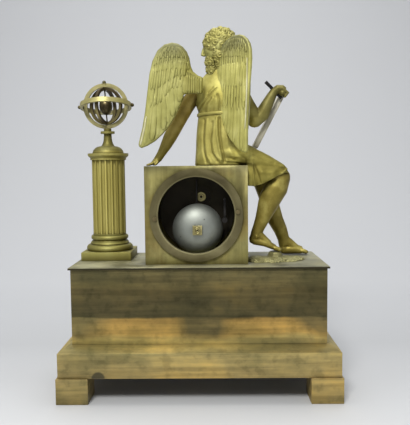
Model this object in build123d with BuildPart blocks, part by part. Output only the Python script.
"""Figural mantel clock. A winged and bearded figure sits on a square movement case,
beside a fluted column with an armillary sphere, all on a stepped plinth.

Millimetres, +Z up. The origin is the middle of the footprint, on the ground.
The dial faces -Y, and the access opening in the back faces +Y.
"""

import math
import os

from build123d import *

os.makedirs("parts", exist_ok=True)

# Fits
RUNNING_GAP = 0.05
SEAT_GAP = 0.3
OVERRUN = 1.0

# Stepped base
BASE_W = 320.0
BASE_D = 148.0
FOOT_SIDE = 36.0
FOOT_H = 29.0
LOWER_INSET = 2.0
LOWER_H = 28.2
SHOULDER_RUN = 14.0
SHOULDER_RISE = 6.5
UPPER_H = 85.3
TOP_OVERHANG = 2.4
TOP_T = 2.0
SHEET_T = 3.0
LEDGE_W = 20.0
POST_SIDE = 16.0
POST_INSET = 10.0
BOSS_R = 7.0
BOSS_H = 10.0
LUG_SIDE = 30.0
LUG_T = 4.0

# Threaded rods, bolts and nuts
BOLT_R = 2.5
BOLT_HEAD_R = 4.5
BOLT_HEAD_H = 3.0
BOLT_TAIL = 3.0
FOOT_BOLT_GRIP = 14.0
ROD_GRIP = 6.0

# Movement case
CASE_W = 118.5
CASE_D = 84.0
CASE_H = 113.4
CASE_X = 2.4
CASE_REAR_INSET = 22.8
CASE_T = 4.0
PORT_R = 50.0
SLOT_W = 44.0
SLOT_D = 14.0
CASE_BOLT_X = 45.0
CASE_BOLT_Y = 28.0
NUT_CLEAR = 2.0

# Rings round the two openings of the case
RING_R = 53.5
RING_BORE_R = 44.0
REAR_RING_T = 3.0
FRONT_RING_T = 2.5
SPIGOT_DEPTH = 4.4
SPIGOT_BORE_R = 46.0
STRAP_RADIUS = 47.6
STRAP_TILT = -4.3
STRAP_W = 8.0
STRAP_T = 4.0
STRAP_SCREW_R = 1.4
STRAP_HEAD_R = 2.6
STRAP_HEAD_H = 1.6
STRAP_SCREW_GRIP = 7.0
STRAP_BACK_GAP = 1.0

# Hinged glass bezel
BEZEL_T = 6.8
BEZEL_R = 53.0
GLASS_R = 47.0
GLASS_T = 2.0
GLASS_SETBACK = 3.0
HINGE_RADIUS = 55.5
KNUCKLE_R = 2.2
HINGE_PIN_R = 1.0
KNUCKLE_H = 4.0
MIDDLE_KNUCKLE_H = 11.0
HINGE_LEAF_W = 5.0
CATCH_SIZE = 4.0

# Dial and hands
DIAL_R = 45.6
DIAL_T = 1.5
DIAL_HOLE_R = 3.6
WINDING_HOLE_R = 3.4
DIAL_FOOT_R = 1.5
DIAL_FOOT_ANGLES = (90.0, 215.0, 325.0)
DIAL_FOOT_RADIUS = 38.0
MINUTE_HAND_L = 36.0
HOUR_HAND_L = 24.0
HAND_T = 0.8
HAND_HUB_R = 3.4
HAND_W = 3.0
HAND_EYE_R = 2.6
HAND_TAIL_L = 8.0
MINUTE_HAND_ANGLE = 30.0
HOUR_HAND_ANGLE = 145.0

# Movement plates
WORK_R = 44.5
WORK_T = 2.5
WORK_GAP = 32.5
MOTION_GAP = 8.9
PILLAR_R = 2.5
PILLAR_RADIUS = 38.0
PILLAR_ANGLES = (62.0, 128.0, 245.0, 295.0)
ARBOR_R = 1.25
FINE_ARBOR_R = 0.95
PIVOT_R = 0.8

# Places of the arbors from the dial's centre, to the right and up as the dial is read
GOING_PLACE = (21.2, -6.07)
STRIKE_PLACE = (-21.2, -6.07)
THIRD_PLACE = (8.98, 15.83)
ESCAPE_PLACE = (0.0, 28.0)
ANCHOR_PLACE = (0.0, 39.0)
PIN_PLACE = (-12.5, 14.2)
COUNT_PLACE = (-5.2, 19.9)
HAMMER_PLACE = (-33.0, 16.0)
BELL_PLACE = (-0.9, -17.9)
MOTION_PLACE = (0.0, 12.0)
CENTRE_PLACE = (0.0, 0.0)

# Tooth counts, with the size of a tooth worked out from the distance of each pair
BARREL_TEETH = 84
CENTRE_LEAVES = 14
CENTRE_TEETH = 84
THIRD_LEAVES = 7
THIRD_TEETH = 77
ESCAPE_LEAVES = 7
ESCAPE_TEETH = 38
PIN_LEAVES = 14
COUNT_TEETH = 20
CANNON_TEETH = 12
MOTION_TEETH = 36
MOTION_LEAVES = 10
HOUR_TEETH = 40
TIP_RISE_SHARE = 0.55
ROOT_DROP_SHARE = 1.15
TOOTH_TIP_SHARE = 0.10
TOOTH_ROOT_SHARE = 0.24

# Wheels and barrels, with distances from the front plate's inner face
WHEEL_T = 1.4
BARREL_R = 17.0
BARREL_H = 16.0
BARREL_WHEEL_T = 2.4
BARREL_CLEAR = 2.0
BARREL_ARBOR_R = 2.6
WINDING_SQUARE = 3.6
WINDING_PROUD = 1.0
CENTRE_WHEEL_Y = 23.0
THIRD_WHEEL_Y = 27.2
ESCAPE_WHEEL_Y = 12.0
PIN_WHEEL_Y = 26.0
PIN_WHEEL_R = 6.3
LIFT_PIN_R = 0.5
LIFT_PIN_L = 1.2
LIFT_PINS = 8
ESCAPE_R = 8.0
ESCAPE_TOOTH_H = 1.6
ARBOR_SHAKE = 0.3

# Motion work in front of the front plate
MOTION_WHEEL_T = 1.5
MOTION_CLEAR = 1.0
HOUR_WHEEL_CLEAR = 1.4
CANNON_R = 2.0
HOUR_PIPE_R = 2.9
HAND_CLEAR = 1.2
MOTION_POST_R = 1.0

# Pieces behind the back plate
TRANSFER_CLEAR = 0.5
TRANSFER_T = 1.6
COUNT_CLEAR = 0.3
COUNT_R = 13.0
COUNT_T = 1.2
COUNT_NOTCH_DEPTH = 2.0
COUNT_NOTCH_W = 1.6
COUNT_NOTCHES = 12
COLLET_R = 5.8
COLLET_T = 1.2
STUD_R = 1.5
CRUTCH_Y = 5.5
CRUTCH_T = 1.0
CRUTCH_W = 2.4
ANCHOR_HALF_SPAN = 13.0
CRUTCH_L = 26.0
FORK_PIN_R = 0.5
FORK_PIN_L = 3.0
FORK_GAP = 0.12
PENDULUM_Y = 8.0
PENDULUM_R = 0.9
PENDULUM_L = 128.0
PENDULUM_TOP = 2.0
BOB_R = 18.0
BOB_T = 8.0
BOB_EDGE_T = 1.6
COCK_W = 24.0
COCK_FOOT_T = 2.0
COCK_FOOT_CLEAR = 1.6
COCK_BAR_CLEAR = 2.4
COCK_BAR_H = 3.6
COCK_BAR_L = 10.6

# Bell with its stand and hammer
BELL_R = 30.0
BELL_H = 18.0
BELL_T = 1.6
BELL_Y = 11.5
BELL_BORE_R = 2.1
BELL_POST_R = 2.0
BELL_SHOULDER_R = 3.5
BELL_ARM_L = 22.0
BELL_ARM_W = 6.0
BELL_ARM_T = 2.6
BELL_FOOT_R = 3.0
NUT_SIDE = 11.0
NUT_H = 3.4
POST_PROUD = 1.2
HAMMER_HEAD_R = 3.2
HAMMER_HEAD_L = 5.0
HAMMER_ARM_W = 2.4
HAMMER_ARM_T = 2.0
HAMMER_GAP = 0.5
HAMMER_HEAD_SET = 0.6

# Column and armillary sphere
COLUMN_OFFSET = 8.975
COLUMN_Y = -23.3
COLUMN_PLINTH_W = 60.3
COLUMN_PLINTH_H = 10.2
TORUS_R = 28.7
TORUS_H = 9.5
SCOTIA_H = 3.8
SMALL_TORUS_R = 23.0
SMALL_TORUS_H = 5.5
BASE_FILLET_H = 2.0
SHAFT_R = 20.2
SHAFT_H = 91.0
FLUTES = 18
FLUTE_R = 2.6
COLUMN_BORE_R = 5.0
NECKING_R = 22.0
NECKING_H = 2.4
ABACUS_R = 25.0
ABACUS_H = 5.6
DOME_R = 19.2
DOME_H = 9.0
STEM_FOOT_R = 8.6
STEM_NECK_R = 4.8
STEM_H = 15.4
COLLAR_R = 8.6
COLLAR_H = 2.8
CUP_R = 4.6
CUP_H = 3.4
RING_RADIUS = 27.8
RING_W = 4.8
RING_T = 3.4
HORIZON_W = 3.4
HORIZON_T = 5.4
COLURE_W = 3.4
COLURE_TURN = 68.0
COLURE_CROSSING = 90.0
SPHERE_LEAN = 3.1
HORIZON_TIP = 9.5
HORIZON_LEAN = 1.9
BEAD_R = 2.3
GLOBE_R = 8.0
GLOBE_H = 22.0
POLE_R = 0.9
POLE_BOSS_R = 1.8

# Seated figure. Heights above the seat follow FIGURE_H, the legs follow LEG_REACH
FIGURE_H = 168.5
SEAT_X = -24.0
SEAT_Y = -6.0
TORSO_TURN = -28.0
HEAD_TURN = -8.0
LEG_REACH = 115.0
FIGURE_BOLT_X = 12.0
FIGURE_BOLT_GRIP = 14.0
WING_T = 7.0
RIGHT_WING_SWEEP = 45.0
TABLET_L = 70.0
TABLET_W = 38.0
TABLET_T = 6.0
STYLUS_R = 2.0
GROUND_H = 5.0
GROUND_EDGE = 1.6
TOE_BLOCK_W = 14.0
TOE_BLOCK_D = 20.0
TOE_BLOCK_H = 9.6

# Torso rings: height above the seat, half width and half depth
TORSO_SHARES = (
    (0.000, 0.172, 0.150),
    (0.130, 0.163, 0.136),
    (0.270, 0.152, 0.112),
    (0.380, 0.142, 0.095),
    (0.470, 0.160, 0.106),
    (0.545, 0.158, 0.098),
    (0.590, 0.148, 0.083),
    (0.628, 0.098, 0.066),
    (0.662, 0.056, 0.056),
    (0.735, 0.050, 0.050),
)

# Head and hair rings: height, shift towards the face, half length and half width
HEAD_SHARES = (
    (0.735, 0.000, 0.054, 0.050),
    (0.775, 0.000, 0.092, 0.074),
    (0.830, -0.006, 0.110, 0.086),
    (0.890, -0.012, 0.116, 0.092),
    (0.940, -0.012, 0.106, 0.086),
    (0.975, -0.010, 0.076, 0.064),
    (0.994, -0.008, 0.036, 0.030),
    (1.000, -0.008, 0.010, 0.010),
)

# Beard rings, written as the head's
BEARD_SHARES = (
    (0.688, 0.082, 0.016, 0.020),
    (0.715, 0.074, 0.034, 0.040),
    (0.765, 0.068, 0.042, 0.052),
    (0.810, 0.066, 0.034, 0.048),
)

# Limb places: across, back and up from the seat, then the half thickness
LEFT_ARM_SHARES = (
    (0.119, -0.065, 0.550, 0.046),
    (0.231, -0.042, 0.425, 0.052),
    (0.315, -0.030, 0.277, 0.049),
    (0.374, -0.030, 0.164, 0.041),
    (0.421, -0.030, 0.087, 0.030),
    (0.460, -0.030, 0.036, 0.034),
    (0.500, -0.030, 0.006, 0.024),
)
RIGHT_ARM_SHARES = (
    (-0.125, 0.065, 0.567, 0.046),
    (-0.196, 0.053, 0.437, 0.050),
    (-0.279, 0.030, 0.335, 0.055),
    (-0.344, 0.030, 0.437, 0.043),
    (-0.398, 0.030, 0.523, 0.031),
    (-0.445, 0.030, 0.538, 0.034),
    (-0.487, 0.030, 0.505, 0.021),
)

# Leg places: out and back as shares of the reach, up as a share of the case's height
RIGHT_LEG_SHARES = (
    (0.200, 0.035, 1.102, 0.183),
    (0.400, 0.070, 1.014, 0.165),
    (0.557, 0.087, 0.944, 0.135),
    (0.635, 0.096, 0.847, 0.126),
    (0.609, 0.104, 0.714, 0.118),
    (0.522, 0.104, 0.538, 0.098),
    (0.435, 0.104, 0.379, 0.070),
    (0.383, 0.104, 0.265, 0.058),
    (0.378, 0.104, 0.205, 0.046),
)
RIGHT_FOOT_SHARES = (
    (0.335, 0.104, 0.219, 0.034),
    (0.400, 0.104, 0.198, 0.052),
    (0.504, 0.104, 0.159, 0.046),
    (0.617, 0.100, 0.125, 0.030),
)
LEFT_LEG_SHARES = (
    (0.157, -0.191, 1.093, 0.165),
    (0.330, -0.235, 1.032, 0.148),
    (0.478, -0.252, 0.891, 0.126),
    (0.530, -0.252, 0.714, 0.109),
    (0.591, -0.248, 0.520, 0.096),
    (0.661, -0.243, 0.326, 0.077),
    (0.713, -0.243, 0.168, 0.061),
    (0.722, -0.243, 0.079, 0.046),
)
LEFT_FOOT_SHARES = (
    (0.683, -0.243, 0.050, 0.046),
    (0.783, -0.243, 0.062, 0.058),
    (0.887, -0.243, 0.047, 0.044),
    (0.983, -0.243, 0.033, 0.030),
)

# Wing outlines from the root, outward and up, with the place of each wing's plane
LEFT_WING_PLACE_SHARES = (0.0, 0.100)
LEFT_WING_SHARES = (
    (0.040, 0.610),
    (0.170, 0.650),
    (0.190, 0.735),
    (0.235, 0.822),
    (0.313, 0.852),
    (0.404, 0.809),
    (0.450, 0.735),
    (0.487, 0.537),
    (0.520, 0.314),
    (0.562, 0.149),
    (0.539, 0.122),
    (0.421, 0.185),
    (0.298, 0.348),
    (0.239, 0.480),
    (0.040, 0.490),
)
RIGHT_WING_PLACE_SHARES = (-0.012, 0.083)
RIGHT_WING_SHARES = (
    (-0.028, 0.637),
    (0.000, 0.735),
    (0.058, 0.824),
    (0.164, 0.872),
    (0.240, 0.858),
    (0.290, 0.785),
    (0.299, 0.701),
    (0.268, 0.422),
    (0.258, 0.279),
    (0.257, 0.135),
    (0.236, 0.077),
    (0.183, 0.101),
    (0.052, 0.269),
    (0.002, 0.446),
)

# Tablet and stylus in the figure's hand
TABLET_FOOT_SHARES = (-0.268, -0.120, 0.132)
TABLET_TILT = 62.4
STYLUS_TOP_SHARES = (-0.336, 0.046, 0.585)
STYLUS_TIP_SHARES = (-0.450, 0.012, 0.476)

# Ground casting beside the case, as shares of the leg's reach
GROUND_SHARES = (
    (0.300, -0.150),
    (0.340, 0.240),
    (0.560, 0.290),
    (0.800, 0.220),
    (0.870, 0.060),
    (0.700, -0.110),
)
TOE_BLOCK_SHARES = (0.600, 0.100)

# Hand outlines along and across, as shares of the hand's length and width
HAND_POINT_SHARE = 0.92
HAND_SHOULDER_SHARE = 0.55

# Half outline of the anchor across and up, as shares of its half span
ANCHOR_SHARES = (
    (0.000, 0.305),
    (0.712, -0.254),
    (0.983, -0.542),
    (1.000, -0.610),
    (0.881, -0.602),
    (0.831, -0.441),
    (0.610, -0.271),
    (0.000, -0.136),
)

# Heights
LOWER_Z = FOOT_H
SHOULDER_Z = LOWER_Z + LOWER_H
UPPER_Z = SHOULDER_Z + SHOULDER_RISE
TOP_Z = UPPER_Z + UPPER_H
DECK_Z = TOP_Z + TOP_T
SEAT_Z = DECK_Z + CASE_H
AXIS_Z = DECK_Z + CASE_H / 2
LOWER_W = BASE_W - 2 * LOWER_INSET
LOWER_D = BASE_D - 2 * LOWER_INSET
UPPER_W = LOWER_W - 2 * SHOULDER_RUN
UPPER_D = LOWER_D - 2 * SHOULDER_RUN
TOP_W = UPPER_W + 2 * TOP_OVERHANG
TOP_D = UPPER_D + 2 * TOP_OVERHANG

# Faces along Y, from the back of the case to the dial
COLUMN_X = (CASE_X + CASE_W / 2 + TOP_W / 2) / 2 + COLUMN_OFFSET
REAR_Y = TOP_D / 2 - CASE_REAR_INSET
FRONT_Y = REAR_Y - CASE_D
CASE_Y = (REAR_Y + FRONT_Y) / 2
DIAL_BACK_Y = FRONT_Y + DIAL_T
WORK_FRONT_Y = DIAL_BACK_Y + MOTION_GAP
WORK_INNER_Y = WORK_FRONT_Y + WORK_T
WORK_FAR_Y = WORK_INNER_Y + WORK_GAP
WORK_BACK_Y = WORK_FAR_Y + WORK_T
SPIGOT_Y = FRONT_Y + SPIGOT_DEPTH
PENDULUM_PLANE_Y = WORK_BACK_Y + PENDULUM_Y
BELL_MOUTH_Y = WORK_BACK_Y + BELL_Y
BELL_CROWN_Y = BELL_MOUTH_Y + BELL_H


def facing(place, y):
    """A plane that faces the dial side, with its origin at a place of the movement."""
    across, up = place
    return Plane((CASE_X + across, y, AXIS_Z + up), (1, 0, 0), (0, -1, 0))


def upright(place, y=0.0):
    """A plane through an arbor's axis, with the radius along X and the axis along Y."""
    across, up = place
    return Plane((CASE_X + across, y, AXIS_Z + up), (1, 0, 0), (0, 0, 1))


def bar(place, y_front, y_back, radius, mode=Mode.ADD):
    """A round bar along Y."""
    with BuildSketch(facing(place, y_back)) as outline:
        Circle(radius)
    extrude(outline.sketch, amount=y_back - y_front, mode=mode)


def block(place, y_front, y_back, width, height, turn=0.0, mode=Mode.ADD):
    """A rectangular bar along Y."""
    with BuildSketch(facing(place, y_back)) as outline:
        Rectangle(width, height, rotation=turn)
    extrude(outline.sketch, amount=y_back - y_front, mode=mode)


def span(first, second):
    """Distance of two places."""
    return math.dist(first, second)


def bearing(first, second):
    """Angle of the line from one place to another."""
    return math.degrees(math.atan2(second[1] - first[1], second[0] - first[0]))


def toothed(place, y_front, y_back, teeth, module, tooth_angle):
    """A toothed disc with straight flanks and one tooth centred on tooth_angle."""
    pitch_r = teeth * module / 2
    tip_r = pitch_r + TIP_RISE_SHARE * module
    root_r = pitch_r - ROOT_DROP_SHARE * module
    profile = (
        (-TOOTH_ROOT_SHARE, root_r),
        (-TOOTH_TIP_SHARE, tip_r),
        (TOOTH_TIP_SHARE, tip_r),
        (TOOTH_ROOT_SHARE, root_r),
    )
    points = []
    for tooth in range(teeth):
        for turn, radius in profile:
            angle = math.radians(tooth_angle + (tooth + turn) * 360 / teeth)
            points.append((radius * math.cos(angle), radius * math.sin(angle)))
    with BuildSketch(facing(place, y_back)) as outline:
        with BuildLine():
            Polyline(*points, close=True)
        make_face()
    extrude(outline.sketch, amount=y_back - y_front)


def arbor(place, y_front, y_back, radius):
    """An arbor between the plates, with pivots through both."""
    bar(place, WORK_FRONT_Y, WORK_BACK_Y, PIVOT_R)
    bar(place, y_front + ARBOR_SHAKE, y_back - ARBOR_SHAKE, radius)


def polar(radius, angle):
    """A place at a distance and angle from the dial's centre."""
    return (radius * math.cos(math.radians(angle)), radius * math.sin(math.radians(angle)))


def bolt(x, y, head_low, head_high, end_z):
    """A headed bolt along Z, whose shank runs from its head to end_z."""
    with BuildSketch(Plane((x, y, head_low))) as head:
        RegularPolygon(BOLT_HEAD_R, 6)
    extrude(head.sketch, amount=head_high - head_low)
    shank_low = min(head_low, end_z)
    with BuildSketch(Plane((x, y, shank_low))) as shank:
        Circle(BOLT_R)
    extrude(shank.sketch, amount=max(head_high, end_z) - shank_low)


def bolt_hole(x, y, z_low, z_high):
    """A clearance hole for a bolt along Z."""
    with BuildSketch(Plane((x, y, z_low))) as outline:
        Circle(BOLT_R + RUNNING_GAP)
    extrude(outline.sketch, amount=z_high - z_low, mode=Mode.SUBTRACT)


def corners(half_x, half_y):
    """Four corner places round the origin."""
    return [(x, y) for x in (-half_x, half_x) for y in (-half_y, half_y)]


POST_PLACES = corners(UPPER_W / 2 - POST_INSET, UPPER_D / 2 - POST_INSET)
FOOT_PLACES = corners((BASE_W - FOOT_SIDE) / 2, (BASE_D - FOOT_SIDE) / 2)
FRONT_BOLT_Y = max(CASE_Y - CASE_BOLT_Y, SHEET_T + BOLT_HEAD_R + NUT_CLEAR - UPPER_D / 2)
CASE_BOLTS = [(CASE_X + x, y) for x in (-CASE_BOLT_X, CASE_BOLT_X) for y in (FRONT_BOLT_Y, CASE_Y + CASE_BOLT_Y)]
FIGURE_BOLTS = [(SEAT_X - FIGURE_BOLT_X, SEAT_Y), (SEAT_X + FIGURE_BOLT_X, SEAT_Y)]

# Stepped base
with BuildPart() as feet:
    for foot_x, foot_y in FOOT_PLACES:
        with BuildSketch(Plane((foot_x, foot_y, 0))):
            Rectangle(FOOT_SIDE, FOOT_SIDE)
        extrude(amount=FOOT_H)
        bolt_hole(foot_x, foot_y, FOOT_H - FOOT_BOLT_GRIP, FOOT_H)

with BuildPart() as lower_plinth:
    with BuildSketch(Plane.XY.offset(LOWER_Z)):
        Rectangle(LOWER_W, LOWER_D)
    extrude(amount=LOWER_H)
    with BuildSketch(Plane.XY.offset(SHOULDER_Z)):
        Rectangle(LOWER_W, LOWER_D)
    with BuildSketch(Plane.XY.offset(UPPER_Z)):
        Rectangle(UPPER_W, UPPER_D)
    loft(ruled=True)
    with BuildSketch(Plane.XY.offset(LOWER_Z)):
        Rectangle(LOWER_W - 2 * SHEET_T, LOWER_D - 2 * SHEET_T)
    extrude(amount=LOWER_H - SHEET_T, mode=Mode.SUBTRACT)
    with BuildSketch(Plane.XY.offset(LOWER_Z)):
        Rectangle(UPPER_W - 2 * SHEET_T, UPPER_D - 2 * SHEET_T)
    extrude(amount=UPPER_Z - SHEET_T - LOWER_Z, mode=Mode.SUBTRACT)
    with BuildSketch(Plane.XY.offset(LOWER_Z)):
        Rectangle(UPPER_W - 2 * LEDGE_W, UPPER_D - 2 * LEDGE_W)
    extrude(amount=UPPER_Z - LOWER_Z, mode=Mode.SUBTRACT)
    lug_x = (LOWER_W - SHEET_T - LUG_SIDE) / 2
    lug_y = (LOWER_D - SHEET_T - LUG_SIDE) / 2
    with BuildSketch(Plane.XY.offset(LOWER_Z)):
        with Locations(*corners(lug_x, lug_y)):
            Rectangle(LUG_SIDE, LUG_SIDE)
    extrude(amount=LUG_T)
    for foot_x, foot_y in FOOT_PLACES:
        bolt_hole(foot_x, foot_y, LOWER_Z, LOWER_Z + LUG_T)
    for post_x, post_y in POST_PLACES:
        bolt_hole(post_x, post_y, UPPER_Z - SHEET_T, UPPER_Z)

with BuildPart() as upper_plinth:
    with BuildSketch(Plane.XY.offset(UPPER_Z)):
        Rectangle(UPPER_W, UPPER_D)
        Rectangle(UPPER_W - 2 * SHEET_T, UPPER_D - 2 * SHEET_T, mode=Mode.SUBTRACT)
    extrude(amount=UPPER_H)
    with BuildSketch(Plane.XY.offset(UPPER_Z)):
        with Locations(*POST_PLACES):
            Rectangle(POST_SIDE, POST_SIDE)
    extrude(amount=UPPER_H - BOSS_H)
    for post_x, post_y in POST_PLACES:
        bolt_hole(post_x, post_y, UPPER_Z, TOP_Z - BOSS_H)

with BuildPart() as top_plate:
    with BuildSketch(Plane.XY.offset(TOP_Z)):
        Rectangle(TOP_W, TOP_D)
    extrude(amount=TOP_T)
    with BuildSketch(Plane.XY.offset(TOP_Z - BOSS_H)):
        with Locations(*POST_PLACES):
            Circle(min(BOSS_R, POST_INSET - SHEET_T - SEAT_GAP))
    extrude(amount=BOSS_H)
    for post_x, post_y in POST_PLACES:
        bolt_hole(post_x, post_y, TOP_Z - BOSS_H, TOP_Z)
    for bolt_x, bolt_y in CASE_BOLTS + [(COLUMN_X, COLUMN_Y)]:
        bolt_hole(bolt_x, bolt_y, TOP_Z, DECK_Z)
    with BuildSketch(Plane((CASE_X, PENDULUM_PLANE_Y, TOP_Z))):
        Rectangle(SLOT_W, SLOT_D)
    extrude(amount=TOP_T, mode=Mode.SUBTRACT)

with BuildPart() as base_screws:
    for foot_x, foot_y in FOOT_PLACES:
        head_z = LOWER_Z + LUG_T
        bolt(foot_x, foot_y, head_z, head_z + BOLT_HEAD_H, FOOT_H - FOOT_BOLT_GRIP)
    for post_x, post_y in POST_PLACES:
        head_z = UPPER_Z - SHEET_T
        bolt(post_x, post_y, head_z - BOLT_HEAD_H, head_z, TOP_Z)

# Column, from the deck up
COLUMN_PLANE = Plane((COLUMN_X, COLUMN_Y, 0), (1, 0, 0), (0, -1, 0))
COLUMN_AXIS = Axis((COLUMN_X, COLUMN_Y, 0), (0, 0, 1))
TORUS_Z = DECK_Z + COLUMN_PLINTH_H
SCOTIA_Z = TORUS_Z + TORUS_H
SMALL_TORUS_Z = SCOTIA_Z + SCOTIA_H
BASE_FILLET_Z = SMALL_TORUS_Z + SMALL_TORUS_H
SHAFT_Z = BASE_FILLET_Z + BASE_FILLET_H
NECKING_Z = SHAFT_Z + SHAFT_H
ABACUS_Z = NECKING_Z + NECKING_H
DOME_Z = ABACUS_Z + ABACUS_H
STEM_Z = DOME_Z + DOME_H
COLLAR_Z = STEM_Z + STEM_H
CUP_Z = COLLAR_Z + COLLAR_H
CUP_TOP_Z = CUP_Z + CUP_H
COLUMN_ROD_R = BOLT_R + RUNNING_GAP

with BuildPart() as column_base:
    with BuildSketch(Plane((COLUMN_X, COLUMN_Y, DECK_Z))):
        Rectangle(COLUMN_PLINTH_W, COLUMN_PLINTH_W)
        Circle(COLUMN_ROD_R, mode=Mode.SUBTRACT)
    extrude(amount=COLUMN_PLINTH_H)
    torus_side = TORUS_R - TORUS_H / 2
    small_side = SMALL_TORUS_R - SMALL_TORUS_H / 2
    scotia_waist = (small_side + SHAFT_R) / 2
    with BuildSketch(COLUMN_PLANE):
        with BuildLine():
            Polyline((COLUMN_ROD_R, SHAFT_Z), (COLUMN_ROD_R, TORUS_Z), (torus_side, TORUS_Z))
            ThreePointArc((torus_side, TORUS_Z), (TORUS_R, TORUS_Z + TORUS_H / 2), (torus_side, SCOTIA_Z))
            ThreePointArc(
                (torus_side, SCOTIA_Z),
                (scotia_waist, SCOTIA_Z + SCOTIA_H / 2),
                (small_side, SMALL_TORUS_Z),
            )
            ThreePointArc(
                (small_side, SMALL_TORUS_Z),
                (SMALL_TORUS_R, SMALL_TORUS_Z + SMALL_TORUS_H / 2),
                (small_side, BASE_FILLET_Z),
            )
            Polyline((small_side, BASE_FILLET_Z), (small_side, SHAFT_Z), (COLUMN_ROD_R, SHAFT_Z))
        make_face()
    revolve(axis=COLUMN_AXIS)

with BuildPart() as column_shaft:
    with BuildSketch(Plane((COLUMN_X, COLUMN_Y, SHAFT_Z))):
        Circle(SHAFT_R)
        with PolarLocations(SHAFT_R, FLUTES):
            Circle(FLUTE_R, mode=Mode.SUBTRACT)
        Circle(COLUMN_BORE_R, mode=Mode.SUBTRACT)
    extrude(amount=SHAFT_H)

with BuildPart() as column_capital:
    with BuildSketch(COLUMN_PLANE):
        with BuildLine():
            Polyline(
                (COLUMN_ROD_R, STEM_Z),
                (COLUMN_ROD_R, NECKING_Z),
                (NECKING_R, NECKING_Z),
                (NECKING_R, ABACUS_Z),
                (ABACUS_R, ABACUS_Z + ABACUS_H / 2),
                (ABACUS_R, DOME_Z),
                (DOME_R, DOME_Z),
            )
            EllipticalCenterArc(
                (STEM_FOOT_R, DOME_Z), DOME_R - STEM_FOOT_R, DOME_H, start_angle=0, arc_size=90
            )
            Line((STEM_FOOT_R, STEM_Z), (COLUMN_ROD_R, STEM_Z))
        make_face()
    revolve(axis=COLUMN_AXIS)

with BuildPart() as sphere_stand:
    with BuildSketch(COLUMN_PLANE):
        with BuildLine():
            Line((0, CUP_TOP_Z), (0, STEM_Z))
            Line((0, STEM_Z), (STEM_FOOT_R, STEM_Z))
            Spline(
                (STEM_FOOT_R, STEM_Z),
                (STEM_NECK_R, COLLAR_Z),
                tangents=((-STEM_H, STEM_H), (0, STEM_H)),
            )
            Polyline(
                (STEM_NECK_R, COLLAR_Z),
                (COLLAR_R, COLLAR_Z),
                (COLLAR_R, CUP_Z),
                (CUP_R, CUP_Z),
                (CUP_R, CUP_TOP_Z),
                (0, CUP_TOP_Z),
            )
        make_face()
    revolve(axis=COLUMN_AXIS)
    bolt_hole(COLUMN_X, COLUMN_Y, STEM_Z, STEM_Z + ROD_GRIP)

# Armillary sphere. Its polar axis leans in the plane of the meridian
LEAN = math.radians(SPHERE_LEAN)
POLE = Vector(math.sin(LEAN), 0, math.cos(LEAN))
SPHERE_CENTRE = Vector(COLUMN_X, COLUMN_Y, CUP_TOP_Z) + POLE * RING_RADIUS
RING_INNER = RING_RADIUS - RING_W
COLURE_R = RING_INNER - SEAT_GAP
COLURE_INNER = COLURE_R - COLURE_W
HORIZON_INNER = RING_RADIUS + SEAT_GAP
HORIZON_R = HORIZON_INNER + HORIZON_W
MERIDIAN_PLANE = Plane(SPHERE_CENTRE, Vector(math.cos(LEAN), 0, -math.sin(LEAN)), (0, -1, 0))
HORIZON_UP = Vector(0, 0, 1).rotate(Axis.X, HORIZON_TIP).rotate(Axis.Y, HORIZON_LEAN)
HORIZON_PLANE = Plane(SPHERE_CENTRE, Vector(1, 0, 0).rotate(Axis.Y, HORIZON_LEAN), HORIZON_UP)
POLE_PLANE = Plane(SPHERE_CENTRE, MERIDIAN_PLANE.x_dir, POLE)


def flat_ring(plane, outer, inner, thickness):
    """A flat ring whose thickness straddles its plane."""
    with BuildSketch(plane) as outline:
        Circle(outer)
        Circle(inner, mode=Mode.SUBTRACT)
    extrude(outline.sketch, amount=thickness / 2, both=True)


def pole_rod(low, high, radius, mode=Mode.ADD):
    """A round rod along the polar axis."""
    with BuildSketch(POLE_PLANE.offset(low)) as outline:
        Circle(radius)
    extrude(outline.sketch, amount=high - low, mode=mode)


with BuildPart() as meridian_ring:
    flat_ring(MERIDIAN_PLANE, RING_RADIUS, RING_INNER, RING_T)
    pole_rod(-RING_RADIUS - OVERRUN, -RING_INNER + RING_W / 2, POLE_R + RUNNING_GAP, Mode.SUBTRACT)
    pole_rod(RING_INNER - OVERRUN, RING_INNER + RING_W / 2, POLE_R + RUNNING_GAP, Mode.SUBTRACT)
    with Locations(SPHERE_CENTRE + POLE * (RING_RADIUS + BEAD_R / 2)):
        Sphere(BEAD_R)
    stand_cut = Pos(COLUMN_X, COLUMN_Y, CUP_TOP_Z - RING_W / 2) * Box(
        2 * CUP_R, 2 * CUP_R, RING_W, mode=Mode.PRIVATE
    )
    add(stand_cut, mode=Mode.SUBTRACT)

with BuildPart() as horizon_ring:
    flat_ring(HORIZON_PLANE, HORIZON_R, HORIZON_INNER, HORIZON_T)
    for side in (-1, 1):
        with Locations(SPHERE_CENTRE + HORIZON_PLANE.x_dir * (side * (HORIZON_R + BEAD_R / 2))):
            Sphere(BEAD_R)

# Two rings that cross at the poles, one of them nearly edge on from behind
with BuildPart() as colure_ring:
    for colure_turn in (COLURE_TURN, COLURE_TURN - COLURE_CROSSING):
        colure_face = MERIDIAN_PLANE.z_dir.rotate(Axis((0, 0, 0), POLE), colure_turn)
        flat_ring(Plane(SPHERE_CENTRE, POLE, colure_face), COLURE_R, COLURE_INNER, RING_T)
    pole_rod(-COLURE_R - OVERRUN, COLURE_R + OVERRUN, POLE_R + RUNNING_GAP, Mode.SUBTRACT)

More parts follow.
